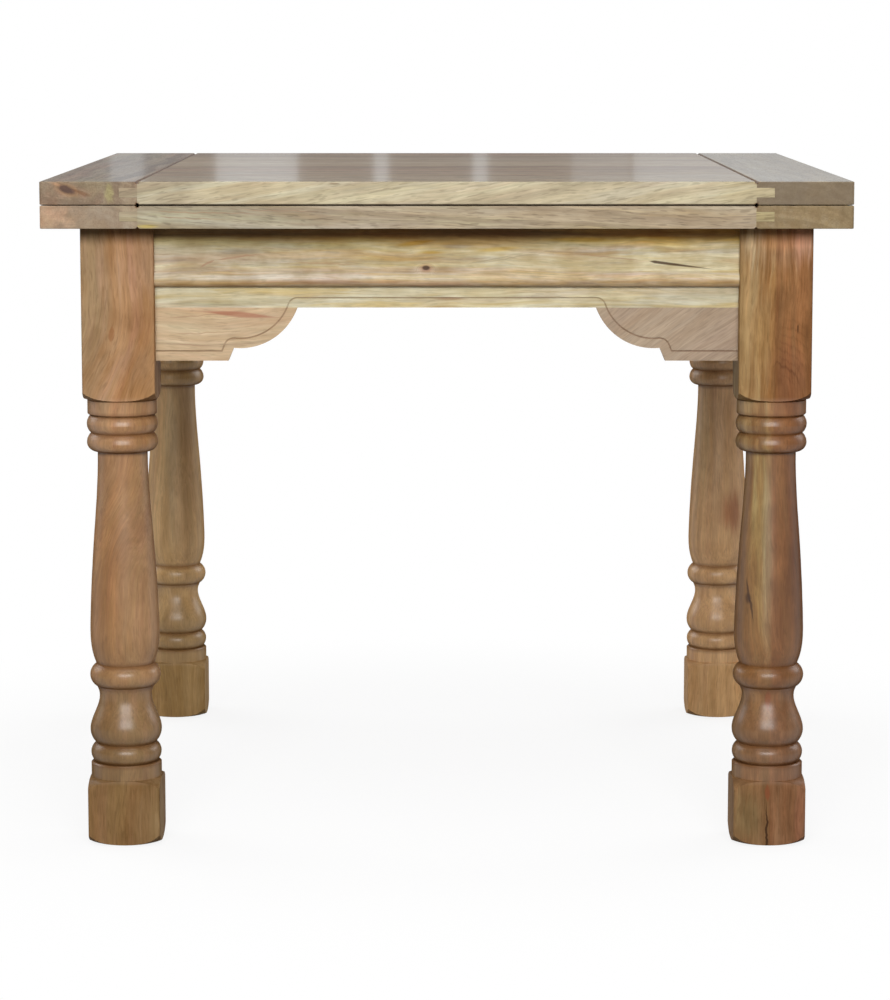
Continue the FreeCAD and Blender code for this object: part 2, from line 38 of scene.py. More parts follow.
# %% Sums that build nodes
class Tone:
    """A value, colour or vector in a material."""

    def __init__(self, tree, socket=None):
        self.tree = tree
        self.socket = socket

    def add(self, kind, settings, inputs, out=0):
        node = self.tree.nodes.new(kind)
        for key, value in settings.items():
            setattr(node, key, value)
        for key, value in inputs.items():
            if isinstance(value, Tone):
                self.tree.links.new(value.socket, node.inputs[key])
            else:
                node.inputs[key].default_value = value
        return Tone(self.tree, node.outputs[out])

    def maths(self, operation, first, second=0.0):
        return self.add("ShaderNodeMath", {"operation": operation}, {0: first, 1: second})

    def __add__(self, other):
        return self.maths("ADD", self, other)

    def __radd__(self, other):
        return self.maths("ADD", other, self)

    def __sub__(self, other):
        return self.maths("SUBTRACT", self, other)

    def __rsub__(self, other):
        return self.maths("SUBTRACT", other, self)

    def __mul__(self, other):
        return self.maths("MULTIPLY", self, other)

    def __rmul__(self, other):
        return self.maths("MULTIPLY", other, self)

    def __truediv__(self, other):
        return self.maths("DIVIDE", self, other)

    def __pow__(self, power):
        return self.maths("POWER", self, power)

    def __abs__(self):
        return self.maths("ABSOLUTE", self)


print("sums ready")

# %% [markdown]
# A Math node turns a colour grey, so colours go through Mix and vectors through Vector Math. Colours are
# written as a screen shows them, 0 to 255, and srgb turns them into the linear numbers that a shader
# takes. The other helpers come back in every finish.

# %% Helpers for colours and patterns
def srgb(colour):
    """A colour as a screen gives it, as the linear colour that a shader takes."""
    def linear(part):
        share = part / 255
        return share / 12.92 if share <= 0.04045 else ((share + 0.055) / 1.055) ** 2.4
    return tuple(linear(part) for part in colour) + (1.0,)


def mix(under, over, share):
    """One colour laid over another by a share from 0 to 1."""
    return share.add("ShaderNodeMix", {"data_type": "RGBA"}, {0: share, 6: under, 7: over}, 2)


def multiply(colour, factor, share=1.0):
    """The colour times a factor, by a share from 0 to 1."""
    settings = {"data_type": "RGBA", "blend_type": "MULTIPLY"}
    return colour.add("ShaderNodeMix", settings, {0: share, 6: colour, 7: factor}, 2)


def fade(value, start, end):
    """0 before start, 1 after end, and a soft step between."""
    settings = {"interpolation_type": "SMOOTHSTEP"}
    if start < end:
        return value.add("ShaderNodeMapRange", settings, {0: value, 1: start, 2: end, 3: 0.0, 4: 1.0})
    return value.add("ShaderNodeMapRange", settings, {0: value, 1: end, 2: start, 3: 1.0, 4: 0.0})


def vector(operation, first, second, out=0):
    return first.add("ShaderNodeVectorMath", {"operation": operation}, {0: first, 1: second}, out)


def distance(way):
    return vector("LENGTH", way, (0, 0, 0), "Value")


def split(place):
    """The three parts of a vector."""
    parts = place.add("ShaderNodeSeparateXYZ", {}, {0: place})
    return [Tone(place.tree, socket) for socket in parts.socket.node.outputs]


def noise(place, per_metre, detail=2.0, out=0, rough=0.5):
    """Noise with so many waves in a metre along each axis; rough is the share of the finer ones."""
    stretched = vector("MULTIPLY", place, per_metre)
    inputs = {"Vector": stretched, "Scale": 1.0, "Detail": detail, "Roughness": rough}
    return place.add("ShaderNodeTexNoise", {}, inputs, out)


print("half grey as a shader takes it", srgb((128, 128, 128)))

# %% [markdown]
# The table stands on a plain pale floor. A floor that is bright white for the lamps as well would throw
# so much light up under the top that the shadow below its edge would be lost. So the floor is grey to the
# light and white to the eye: Light Path tells a camera, mirror or glass ray from the rest. Near the table
# a little of a floor that takes shadows is mixed in, and with it the table's own soft one.

# %% Floor
floor_reach = 300.0
floor_grey = (0.17, 0.17, 0.165, 1)
shadow_white = (0.95, 0.95, 0.95, 1)
pure_white = (1, 1, 1, 1)
shadow_near = 0.45
shadow_far = 1.0
shadow_share = 0.15
eye_rays = ("Is Camera Ray", "Is Glossy Ray", "Is Transmission Ray")


def sight(start):
    """1 for rays that come from the camera, straight or by way of a mirror or glass."""
    rays = start.add("ShaderNodeLightPath", {}, {}).socket.node.outputs
    straight, mirrored, through = [Tone(start.tree, rays[name]) for name in eye_rays]
    return start.maths("MINIMUM", straight + mirrored + through, 1.0)


def pale_floor():
    material = bpy.data.materials.new("pale floor")
    material.use_nodes = True
    tree = material.node_tree
    tree.nodes.remove(tree.nodes["Principled BSDF"])
    start = Tone(tree)
    here = start.add("ShaderNodeTexCoord", {}, {}, "Object")
    lit = start.add("ShaderNodeBsdfDiffuse", {}, {"Color": floor_grey})
    shadowed = start.add("ShaderNodeBsdfDiffuse", {}, {"Color": shadow_white})
    white = start.add("ShaderNodeEmission", {}, {"Color": pure_white, "Strength": 1.0})
    cover = 1 - shadow_share * fade(distance(here), shadow_far, shadow_near)
    seen = start.add("ShaderNodeMixShader", {}, {0: cover, 1: shadowed, 2: white})
    both = start.add("ShaderNodeMixShader", {}, {0: sight(start), 1: lit, 2: seen})
    tree.links.new(both.socket, tree.nodes["Material Output"].inputs["Surface"])
    return material


bpy.ops.mesh.primitive_plane_add(size=2 * floor_reach, location=(0, 0, 0))
floor = bpy.context.object
floor.name = "studio_floor"
floor.data.materials.append(pale_floor())
print("floor", floor.dimensions[:2])

# %% [markdown]
# Behind the floor the studio is white at the horizon and a soft grey above it. Seen along its surface,
# the lacquered top is a mirror for that grey, which keeps the wood's colour in it. The world is a plain
# gradient by height, the same for every ray.

# %% World
horizon_white = 0.011
room_above = 0.034
room_grey = (0.2, 0.2, 0.205, 1)


def studio_world():
    world = bpy.data.worlds.new("studio")
    world.use_nodes = True
    background = world.node_tree.nodes["Background"]
    way = Tone(world.node_tree).add("ShaderNodeTexCoord", {}, {}, "Generated")
    rise = split(way)[2]
    colour = mix(pure_white, room_grey, fade(rise, horizon_white, room_above))
    world.node_tree.links.new(colour.socket, background.inputs["Color"])
    return world


bpy.context.scene.world = studio_world()
bpy.context.scene.view_settings.view_transform = "Standard"
print("world", bpy.context.scene.world.name)

# %% [markdown]
# Two wide soft windows stand side by side behind the camera, about two metres up. They give the front its
# even light, a short shadow under the top, and the glints on the turned rings. Large lamps at the back
# corners light the sides and the back. They stand so far out that the camera meets none of their light
# mirrored in the top. A small lamp overhead lifts the top a little.

# %% Lamps
table_middle = (0.0, 0.0, 0.45)
table_top = (0.0, 0.0, 0.6)
lamp_pairs = [("front_window_", (0.8, -4.6, 2.2), (1.3, 1.5), 91),
              ("side_fill_", (4.4, 1.6, 2.0), (4.0, 2.4), 13),
              ("back_fill_", (4.1, 3.2, 2.7), (4.6, 2.8), 120)]


def lamp(name, place, target, size, watts):
    """A rectangular soft lamp that faces a point."""
    bpy.ops.object.light_add(type="AREA", location=place)
    made = bpy.context.object
    made.name = name
    made.rotation_euler = (Vector(target) - Vector(place)).to_track_quat("-Z", "Y").to_euler()
    made.data.shape = "RECTANGLE"
    made.data.size, made.data.size_y = size
    made.data.energy = watts
    made.visible_camera = False
    return made


for side, hand in ((-1, "left"), (1, "right")):
    for name, (aside, back, height), size, watts in lamp_pairs:
        lamp(name + hand, (side * aside, back, height), table_middle, size, watts)
lamp("overhead", (0.0, -1.5, 3.1), table_top, (2.2, 1.2), 16)

# %% [markdown]
# The top is lacquered, and at the camera's low angle it mirrors what stands behind the table. In a
# workshop that is a row of windows. Here it is a row of tall narrow lamps a long way back, a little blue
# as daylight is, each given by where it starts and ends and how bright it looks.

# %% Sheen on the top
sheen_row = 12.0
sheen_level = 1.2
sheen_height = 4.0
sheen_tint = (0.85, 0.94, 1.0)
sheen_bands = [(-1.59, -1.43, 0.45), (-1.09, -0.7, 0.67), (-0.34, -0.27, 0.68), (0.13, 0.2, 0.68),
               (0.6, 0.87, 0.27), (0.89, 1.95, 0.59)]
for number, (left, right, radiance) in enumerate(sheen_bands):
    middle = (left + right) / 2
    place = (middle, sheen_row, sheen_level + sheen_height / 2)
    size = (right - left, sheen_height)
    area = (right - left) * sheen_height
    band = lamp(f"sheen_{number + 1}", place, (middle, 0, place[2]), size, radiance * math.pi * area)
    band.data.color = sheen_tint
print("sheen bands", len(sheen_bands))

# %% [markdown]
# The camera looks straight at the front, a little above the top, through a long lens, so the legs hardly
# lean together. The picture is taller than it is wide, and the lens is measured on its tall side.

# %% Camera
camera_place = (-0.002, -4.22, 0.9231)
camera_dip = 0.1364
lens_length = 122.64
film_side = 36.0
bpy.ops.object.camera_add(location=camera_place, rotation=(math.pi / 2 - camera_dip, 0, 0))
camera = bpy.context.object
camera.data.sensor_width = film_side
camera.data.lens = lens_length
bpy.context.scene.camera = camera
print("camera", camera.location[:], "lens", camera.data.lens)

# %% [markdown]
# Mango wood is pale and streaky: straw and honey in the sapwood, salmon and brown in the heart, with
# grey and yellow streaks and short dark pores. A picture wrapped round a leg would show a seam and the
# same grain on every side. Here the wood is a solid: each point's colour comes from where it lies in
# a log, so a flat face shows arches, an edge shows lines, and an end board shows its end grain.

# %% A log for each piece
grain_turns = {"x": Euler((0, 0, 0)), "y": Euler((0, 0, math.pi / 2)), "z": Euler((0, -math.pi / 2, 0))}
cut_across = (0.55, 0.95)


def new_finish(name):
    """A new material, its shader, and the piece's own coordinates."""
    material = bpy.data.materials.new(name)
    material.use_nodes = True
    shader = material.node_tree.nodes["Principled BSDF"]
    here = Tone(material.node_tree).add("ShaderNodeTexCoord", {}, {}, "Object")
    return material, shader, here


def log_turn(grain, lean):
    return grain_turns[grain].to_matrix() @ Euler(lean).to_matrix()


def log_place(here, node, grain, lean):
    """Where a point lies in the log: X along the grain, measured from the piece's middle."""
    low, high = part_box(node)
    inputs = {"Vector": here, "Location": (low + high) / 2, "Rotation": log_turn(grain, lean).to_euler()}
    return here.add("ShaderNodeMapping", {"vector_type": "TEXTURE"}, inputs)


def faced(here, way):
    """1 where the surface faces a way, 0 where it runs along it."""
    normal = here.add("ShaderNodeTexCoord", {}, {}, "Normal")
    return vector("DOT_PRODUCT", normal, way, "Value")


def end_grain(here, grain, lean):
    """1 where the surface cuts across the grain, 0 where it runs along it."""
    along = log_turn(grain, lean) @ Vector((1, 0, 0))
    return fade(abs(faced(here, along)), *cut_across)


print("grain along", list(grain_turns))

# %% [markdown]
# The marks are what the eye remembers of this table: a knot, a red lens in a bracket, a dark check, a leg
# that is olive on one side and salmon on the other. Each mark is a small function that paints over the
# colour below it, where it lies on the table. The grain breaks up its edge, so it looks grown, not
# sprayed on. A knot also pushes the year rings aside.

# %% Washes and knots
knot_core = (74, 54, 44)
knot_halo = (176, 130, 98)
knot_ragged = 1.2
halo_full = 0.8
halo_share = 0.6
core_edge = (1.3, 0.55)
core_share = 0.92


def away_from(here, centre, reach, slant=0.0):
    """Distance from a point, counted in a reach that differs by axis; slant drops it along X."""
    way = vector("SUBTRACT", here, centre)
    if slant:
        drop = here.add("ShaderNodeCombineXYZ", {}, {"Z": slant * split(way)[0]})
        way = vector("ADD", way, drop)
    return distance(vector("DIVIDE", way, reach))


def stained(colour, base, tint, share):
    """The colour moved from the wood's base towards a tint, with its grain kept."""
    ratio = tuple(part / whole for part, whole in zip(srgb(tint), base))
    return multiply(colour, ratio, share)


def wash(centre, reach, tint, strength=0.7, soft=0.25, ragged=1.5, ground=None, slant=0.0):
    """A patch of another colour; ground is the colour below it, where that isn't the wood's own."""
    def paint(here, colour, base, streak):
        away = away_from(here, centre, reach, slant) + ragged * (0.5 - streak)
        below = srgb(ground) if ground else base
        return stained(colour, below, tint, fade(away, 1.0, soft) * strength)
    return paint


def washes_at(y, deep):
    """Washes at one depth of the table, each placed by X and Z, and as wide and high as given."""
    def placed(x, z, wide, high, tint, *more, **named):
        return wash((x, y, z), (wide, deep, high), tint, *more, **named)
    return placed


def knot(centre, reach, core=knot_core, halo=knot_halo, spread=2.6, slant=0.0):
    def paint(here, colour, base, streak):
        away = away_from(here, centre, reach, slant) + knot_ragged * (0.5 - streak)
        colour = stained(colour, base, halo, fade(away, spread, halo_full) * halo_share)
        return mix(colour, srgb(core), fade(away, *core_edge) * core_share)
    paint.bulge = (centre, reach)
    return paint


print("washes and knots ready")

# %% [markdown]
# A stroke is a thin streak between two points of an upright face, thick near its start and drawn out to
# nothing: a drying check, a crack, a red flame. It could be a crack in the mesh, but these are too fine
# to catch light. Noise along its length makes it sway, and a face keeps it on one side of a leg.

# %% Strokes
sway_waves = 55.0
stroke_edge = -0.6
near_face = (0.03, 0.012)


def stroke(start, end, width, tint, strength=0.85, lead=0.12, tail=0.7, sway=0.0, face=None):
    """A streak from start to end, both as (x, z); with a face given, it shows only near that Y."""
    rising = abs(end[1] - start[1]) > abs(end[0] - start[0])

    def paint(here, colour, base, streak):
        x, y, z = split(here)
        first, second = (1, 0) if rising else (0, 1)
        forward, sideways = (z, x) if rising else (x, z)
        run = (forward - start[first]) / (end[first] - start[first])
        line = start[second] + (end[second] - start[second]) * run
        if sway:
            inputs = {"W": forward, "Scale": sway_waves}
            wave = here.add("ShaderNodeTexNoise", {"noise_dimensions": "1D"}, inputs)
            line = line + sway * (wave - 0.5)
        body = fade(run, 0.0, lead) * fade(run, 1.0, 1.0 - tail)
        cover = fade(abs(sideways - line) / width - body, 0.0, stroke_edge) * strength
        if face is not None:
            cover = cover * fade(abs(y - face), *near_face)
        return mix(colour, srgb(tint), cover)
    return paint


print("strokes ready")

# %% [markdown]
# The stain is wiped off before it dries, and what is left stays in the line scratched along rails and
# brackets, the grooves between the turned rings and the seams of the top. Round the grooves painted shade
# is added as well, and the gap between the leaves gets a dark line of painted shade only. The solids have
# those hollows. Each is found again by its place, and darkened there.

# %% Stained hollows and painted shade
stain = srgb((104, 64, 30))
line_share = 0.42
turned_out = (0.6, 0.8)
line_top = (0.0004, 0.0008)
line_bottom = (0.004, 0.003)
seam_reach = 0.003
seam_share = 0.75
leaf_rim = (0.4465, 0.448)


def incised(outward, face):
    """The scratched line along a rail: its floor lies a little behind the face."""
    def paint(here, colour, base, streak):
        outer = fade(faced(here, outward), *turned_out)
        depth = face - vector("DOT_PRODUCT", here, outward, "Value")
        floor_of_line = fade(depth, *line_top) * fade(depth, *line_bottom)
        return mix(colour, stain, outer * floor_of_line * line_share)
    return paint


def stain_and_shade_in_grooves(levels, reach, strength):
    """Stain left in the grooves of a turned leg, which lie at these heights, with painted shade around it.
    """
    def paint(here, colour, base, streak):
        height = split(here)[2]
        nearest = abs(height - levels[0])
        for level in levels[1:]:
            nearest = here.maths("MINIMUM", nearest, abs(height - level))
        return mix(colour, stain, fade(nearest, reach, 0.1 * reach) * strength)
    return paint


def seam(place, face):
    """Stain in the shallow groove over the joint between boards and end board."""
    def paint(here, colour, base, streak):
        x, y, z = split(here)
        across = fade(abs(x - place), seam_reach, 0.4 * seam_reach)
        near = across * fade(abs(z - face), seam_reach, 0.5 * seam_reach)
        return mix(colour, stain, near * seam_share)
    return paint


def edge_line(level, reach, tint, strength):
    """Painted shade in the gap between the leaves: a dark line along the front and back edge at one height.
    """
    def paint(here, colour, base, streak):
        x, y, z = split(here)
        near = fade(abs(z - level), reach, 0.4 * reach) * fade(abs(y), *leaf_rim)
        return mix(colour, srgb(tint), near * strength)
    return paint


print("stained hollows ready")

# %% [markdown]
# Two marks follow the saw. Where heartwood meets sapwood, the colour changes along one axis and stays
# changed. Where the saw cut the year rings at a slant, they show as a stack of arches in one patch.

# %% Strips and arches
arch_stray = 0.01


def strip_along(axis, start, end, tint, strength, ground=None):
    """A tint that sets in between two places along one axis and stays from there on."""
    def paint(here, colour, base, streak):
        place = split(here)[axis]
        below = srgb(ground) if ground else base
        return stained(colour, below, tint, fade(place, start, end) * strength)
    return paint


def arches(centre, flatten, spacing, inside, reach, tint, strength, thin=0.5):
    """Year rings cut into arches: lines at even steps from a centre, inside a patch."""
    def paint(here, colour, base, streak):
        away = away_from(here, centre, (1.0, 10.0, flatten)) + arch_stray * (streak - 0.5)
        wave = here.maths("PINGPONG", away, spacing / 2) * (2 / spacing)
        patch = fade(away_from(here, inside, reach), 1.0, 0.5)
        return stained(colour, base, tint, fade(wave, thin, 1.0) * patch * strength)
    return paint


print("strips and arches ready")

# %% [markdown]
# Now the wood itself. Slow noise bends the log, so rings and fibres wander together, and set shifts along
# a leg sweep its grain to one side. The rings are noise along the distance from the heart, which gives
# bands of uneven width, as in a tree that grows all year.

# %% Grain of a log
wander_waves = (3.2, 9.0, 9.0)
wander_rough = 0.58
knot_push = 0.01
push_reach = (4.0, 0.3)
crisp = 0.64


def bend(log, sample, wander, sweeps):
    """How far the grain strays sideways: by slow noise, and by set shifts between two places along it."""
    drift = vector("SUBTRACT", noise(sample, wander_waves, 3.0, "Color", wander_rough), (0.5, 0.5, 0.5))
    drift = vector("MULTIPLY", drift, (0.0, 2 * wander, 2 * wander))
    for start, end, shift in sweeps:
        rise = shift * fade(split(log)[0], start, end)
        drift = vector("ADD", drift, log.add("ShaderNodeCombineXYZ", {}, {"Z": rise}))
    return drift


def from_heart(log, drift, here, heart, marks):
    """Distance from the heart of the log, with the rings pushed aside by knots."""
    side, height = split(vector("ADD", log, drift))[1:]
    out = ((side - heart[0]) ** 2 + (height - heart[1]) ** 2) ** 0.5
    for mark in marks:
        if hasattr(mark, "bulge"):
            out = out + knot_push * fade(away_from(here, *mark.bulge), *push_reach)
    return out


def layers(out, per_metre, detail):
    """Year rings: noise along the distance from the heart."""
    inputs = {"W": out, "Scale": per_metre, "Detail": detail, "Roughness": crisp}
    return out.add("ShaderNodeTexNoise", {"noise_dimensions": "1D"}, inputs)


print("grain of a log ready")

# %% [markdown]
# A painter would build the colour up in coats, and so does this: rings, streaks and mottle choose between
# a deep and a pale tone, broad bands and narrow strips tint it, then come thin dark ring lines and pores.
# Streaks and fibres are noise pulled out along the grain.

# %% Coats of colour
broad_waves = (1.7, 15.0, 15.0)
strip_waves = (4.2, 78.0, 78.0)
tint_step = (0.48, 0.62)
year_stray = 0.006
year_step = (0.6, 1.0)
year_gaps = (0.38, 0.58)
year_dark = 0.72
line_rings = 0.4
line_width = 0.022
line_gaps = (0.3, 0.6)
line_dark = 0.62


def darker(colour, share):
    return tuple(share * part for part in colour[:3]) + (1.0,)


def tinted(colour, base, fine, broad, strips):
    """Broad bands and narrow strips of other tints along the grain."""
    for waves, tints in ((broad_waves, broad), (strip_waves, strips)):
        fields = split(noise(fine, waves, 4.0, "Color", crisp))
        for (tint, share), field in zip(tints, fields):
            colour = stained(colour, base, tint, fade(field, *tint_step) * share)
    return colour


def ring_lines(colour, deep, out, streak, rings, years, lines):
    """Dark lines between the rings: faint ones at even steps, and stronger ones that come and go."""
    spacing, depth = years
    wave = out.maths("PINGPONG", out + year_stray * (streak - 0.5), spacing / 2) * (2 / spacing)
    yearly = fade(wave, *year_step) * fade(streak, *year_gaps) * depth
    colour = mix(colour, darker(deep, year_dark), yearly)
    edge = abs(layers(out, line_rings * rings, 2.0) - 0.5)
    line = fade(edge, line_width, 0.0) * fade(streak, *line_gaps)
    return mix(colour, darker(deep, line_dark), line * lines)


print("coats ready")

# %% [markdown]
# The lacquer is satin: the wood's own soft shine, with a thin coat over it and pores that still show.
# Numbers that are the same all over a piece go straight to the shader's sockets. Only colour, roughness,
# bump and the weight of a polish change over the surface.

# %% Mango wood
seed_step = Vector((3.17, 1.73, 2.41))
seed_ring = 1.3
streak_waves = (4.4, 90.0, 90.0)
fibre_waves = (38.0, 620.0, 620.0)
mottle_waves = (34.0, 50.0, 50.0)
pore_waves = (62.0, 520.0, 520.0)
ring_share = 0.34
tone_step = (0.38, 0.62)
pore_step = (0.56, 0.68)
pore_dark = 0.45
grain_bump = 0.35
grain_relief = 0.0002
lacquer_ior = 1.45


def set_surface(shader, colour, roughness, height, strength, relief):
    """What changes over a surface is linked to the shader, the height by way of a bump."""
    inputs = {"Strength": strength, "Distance": relief, "Height": height}
    bump = height.add("ShaderNodeBump", {}, inputs, "Normal")
    for socket, tone in (("Base Color", colour), ("Roughness", roughness), ("Normal", bump)):
        tone.tree.links.new(tone.socket, shader.inputs[socket])


def mango(node, pale, deep, grain="x", lean=(0, 0, 0), seed=1, heart=(0.11, 0.07), rings=80.0,
          wander=0.012, sweeps=(), broad=(), strips=(), lines=0.35, fine_grain=0.4, pores=0.2,
          years=(0.007, 0.16), marks=(), figure=0.16, end_tone=(0.75, 0.4), polish=None, coat=0.1,
          coat_rough=0.3, rough=0.42, shine=0.25):
    """Lacquered mango wood; heart is where the log's middle lies across the grain from the piece's."""
    material, shader, here = new_finish("mango " + node)
    pale, deep = srgb(pale), srgb(deep)
    log = log_place(here, node, grain, lean)
    sample = vector("ADD", log, seed_step * seed)
    drift = bend(log, sample, wander, sweeps)
    fine = vector("ADD", sample, drift)
    out = from_heart(log, drift, here, heart, marks) + seed * seed_ring
    streak = noise(fine, streak_waves, 4.0, rough=crisp)
    fibre = noise(fine, fibre_waves, 2.0)
    mottle = noise(sample, mottle_waves, 3.0)
    pore = fade(noise(fine, pore_waves, 1.0), *pore_step)
    base = tuple((low + high) / 2 for low, high in zip(deep, pale))
    tone = ring_share * layers(out, rings, 4.0) + (1 - ring_share - figure) * streak + figure * mottle
    colour = mix(deep, pale, fade(tone, *tone_step))
    colour = multiply(colour, 1 + fine_grain * (fibre - 0.5))
    colour = tinted(colour, base, fine, broad, strips)
    colour = ring_lines(colour, deep, out, streak, rings, years, lines)
    colour = mix(colour, darker(deep, pore_dark), pore * pores)
    colour = mix(colour, darker(deep, end_tone[0]), end_grain(here, grain, lean) * end_tone[1])
    for mark in marks:
        colour = mark(here, colour, base, streak)
    roughness = rough + 0.12 * fibre + 0.15 * pore
    height = 0.6 * fibre + 0.4 * streak - 0.8 * pore
    set_surface(shader, colour, roughness, height, grain_bump, grain_relief)
    shader.inputs["IOR"].default_value = lacquer_ior
    shader.inputs["Specular IOR Level"].default_value = shine
    shader.inputs["Coat Roughness"].default_value = coat_rough
    shader.inputs["Coat Weight"].default_value = coat
    if polish:
        material.node_tree.links.new(polish(here).socket, shader.inputs["Coat Weight"])
    return material


def dress(node, material):
    """The node's own slot takes the new finish."""
    nodes[node].material_slots[0].material = material


print("mango wood ready")

# %% [markdown]
# Colours of the wood, by name, as they look on the table in plain light: first the sapwood, then the
# heartwood, and last the veins and cracks.

# %% Wood colours
cream = (212, 198, 168)
straw = (204, 188, 146)
honey = (184, 156, 112)
lemon = (206, 178, 96)
lichen = (170, 164, 124)
mist = (172, 166, 154)
blush = (206, 170, 138)
salmon = (194, 140, 104)
rose = (184, 134, 106)
tan = (172, 136, 98)
amber = (174, 120, 70)
rust = (140, 88, 52)
umber = (112, 78, 46)
olive = (146, 118, 76)
mauve = (158, 134, 118)
vein = (166, 124, 96)
grey_vein = (158, 144, 118)
crack = (54, 34, 22)
print("cream as a shader takes it", [round(part, 3) for part in srgb(cream)])

# %% [markdown]
# A leg is one stick of wood, square at the top and foot and turned between. The turned length was
# polished on the lathe and is glossier than the blocks, which were only brushed. Layer Weight takes the
# coat away at the rim of a turning, where a mirror of the white studio would hide the wood. Stain sits in
# the grooves, with painted shade around them. A painted shadow darkens the top of each leg under the
# leaf, and painted shade darkens the feet towards the floor.

# %% Turned legs
leg_axis = 0.369
block_face = -0.41
turned_face = -0.4
turned_from = 0.0755
turned_to = 0.5115
turned_fade = 0.006
block_coat = 0.02
lathe_coat = 0.83
rim_step = (0.75, 0.35)
groove_levels = [0.4936, 0.4726, 0.4516, 0.2065, 0.1805, 0.1145, 0.0925]
# The grooves take stain, and painted shade spread around it.
grooves = stain_and_shade_in_grooves(groove_levels, 0.006, 0.5)
# Painted shadow: the top of each leg is darkened where the leaf above it would shade it.
leaf_shadow_paint = strip_along(2, 0.688, 0.7045, (92, 60, 28), 0.55)
on_leg = washes_at(-leg_axis, 0.2)
on_back_leg = washes_at(leg_axis, 0.2)
on_block = washes_at(block_face, 0.1)


def turned_away(here):
    """0 where a surface faces the eye, 1 where the eye looks along it."""
    return here.add("ShaderNodeLayerWeight", {}, {"Blend": 0.5}, "Facing")


def lathe_polish(here):
    height = split(here)[2]
    above = fade(height, turned_from - turned_fade, turned_from)
    turned = above * fade(height, turned_to + turned_fade, turned_to)
    return (block_coat + lathe_coat * turned) * fade(turned_away(here), *rim_step)


def shaft_tint(x, z, high, tint):
    """A leg's middle, tinted all round."""
    return wash((x, -leg_axis, z), (0.5, 0.5, high), tint, strength=0.8, soft=0.5, ragged=0.3)


# Painted shade: the wood of a foot made darker towards the floor.
def shaded_foot(x, y, tint, top, strength=0.75):
    return wash((x, y, 0.0), (0.4, 0.4, top), tint, strength, soft=0.55, ragged=0.5)


print("grooves", len(groove_levels))

# %% [markdown]
# Each leg came from another place in the tree. The left front leg is salmon heart with a greyer left side,
# a brown flame on its block and a light corner at its foot.

# %% Left front leg
left_leg_marks = (
    on_leg(-0.404, 0.62, 0.04, 0.19, (160, 131, 99), 0.75),
    on_leg(-0.338, 0.668, 0.038, 0.06, (186, 146, 116), 0.55),
    on_leg(-0.346, 0.598, 0.024, 0.034, (148, 107, 72), 0.8),
    on_leg(-0.35, 0.552, 0.036, 0.034, (152, 116, 84), 0.6),
    on_leg(-0.385, 0.3, 0.03, 0.11, amber, 0.35),
    stroke((-0.3772, 0.575), (-0.375, 0.6), 0.0045, rust, 0.5, 0.4, 0.4),
    shaft_tint(-leg_axis, 0.32, 0.18, (159, 119, 80)),
    shaded_foot(-leg_axis, -leg_axis, (120, 92, 56), 0.22),
    on_block(-0.336, 0.03, 0.024, 0.06, (196, 156, 118), 0.8),
)
print("marks on the left front leg", len(left_leg_marks))

# %% [markdown]
# The right front leg looks as if two woods met in it: olive sapwood on the left, red heart on the right,
# where the saw also cut the rings into arches. It has a branched crack low on the shaft, and one in the
# foot that ends in a red flame.

# %% Right front leg
arch_centre = (0.374, block_face, 0.494)
right_leg_marks = (
    on_leg(0.333, 0.6, 0.034, 0.24, (170, 140, 96), 0.8),
    strip_along(0, 0.3655, 0.371, (136, 88, 54), 0.7),
    on_block(0.369, 0.7, 0.12, 0.05, (166, 130, 92), 0.6),
    on_block(0.4, 0.692, 0.02, 0.035, (166, 130, 98), 0.3),
    # This wash makes the painted shadow under the leaf lighter at the block's top.
    on_block(0.376, 0.7, 0.046, 0.024, (106, 74, 48), 0.7, 0.4, 0.8, (86, 62, 41)),
    on_block(0.377, 0.655, 0.02, 0.03, (161, 119, 72), 0.8),
    on_block(0.352, 0.58, 0.015, 0.045, (128, 88, 48), 0.8),
    on_block(0.388, 0.54, 0.034, 0.05, (118, 80, 52), 0.6),
    arches(arch_centre, 2.0, 0.0045, (0.388, block_face, 0.568), (0.022, 0.1, 0.05), umber, 0.3),
    arches(arch_centre, 2.0, 0.012, (0.384, block_face, 0.552), (0.022, 0.1, 0.024), umber, 0.6, 0.8),
    on_block(0.345, 0.035, 0.02, 0.04, (134, 110, 66), 0.6),
    on_block(0.404, 0.03, 0.012, 0.06, (140, 92, 60), 0.5),
    stroke((0.366, 0.148), (0.367, 0.187), 0.0045, (146, 72, 44), 0.5, 0.5, 0.4, 0.0, turned_face),
    on_leg(0.356, 0.37, 0.014, 0.16, (156, 126, 78), 0.8),
    # The pale upright strip next is a painted highlight down the shaft; the two darker washes after it
    # paint shade at the shaft's edges, the right one over the red heart as well.
    on_leg(0.364, 0.33, 0.009, 0.15, (164, 136, 102), 0.6, 0.2, 0.8),
    on_leg(0.334, 0.3, 0.012, 0.1, (112, 80, 48), 0.5),
    on_leg(0.398, 0.34, 0.026, 0.18, (112, 72, 40), 0.7),
    shaft_tint(leg_axis, 0.3, 0.24, (130, 92, 52)),
    shaded_foot(leg_axis, -leg_axis, (132, 98, 66), 0.22),
    on_leg(0.3428, 0.2855, 0.0045, 0.008, (74, 46, 26), 0.75, 0.3, 0.8),
    stroke((0.344, 0.279), (0.3405, 0.324), 0.0019, crack, 0.75, 0.15, 0.8, 0.003, turned_face),
    stroke((0.3436, 0.286), (0.352, 0.248), 0.0019, crack, 0.75, 0.1, 0.85, 0.003, turned_face),
    stroke((0.365, -0.004), (0.366, 0.068), 0.0018, crack, 0.85, 0.02, 0.7, 0.009, block_face),
    stroke((0.3669, 0.048), (0.366, 0.079), 0.004, (138, 74, 48), 0.6, 0.4, 0.5, 0.002, block_face),
    stroke((0.3937, 0.601), (0.3937, 0.585), 0.001, crack, 0.8, 0.3, 0.5, 0.0, block_face),
)
print("marks on the right front leg", len(right_leg_marks))
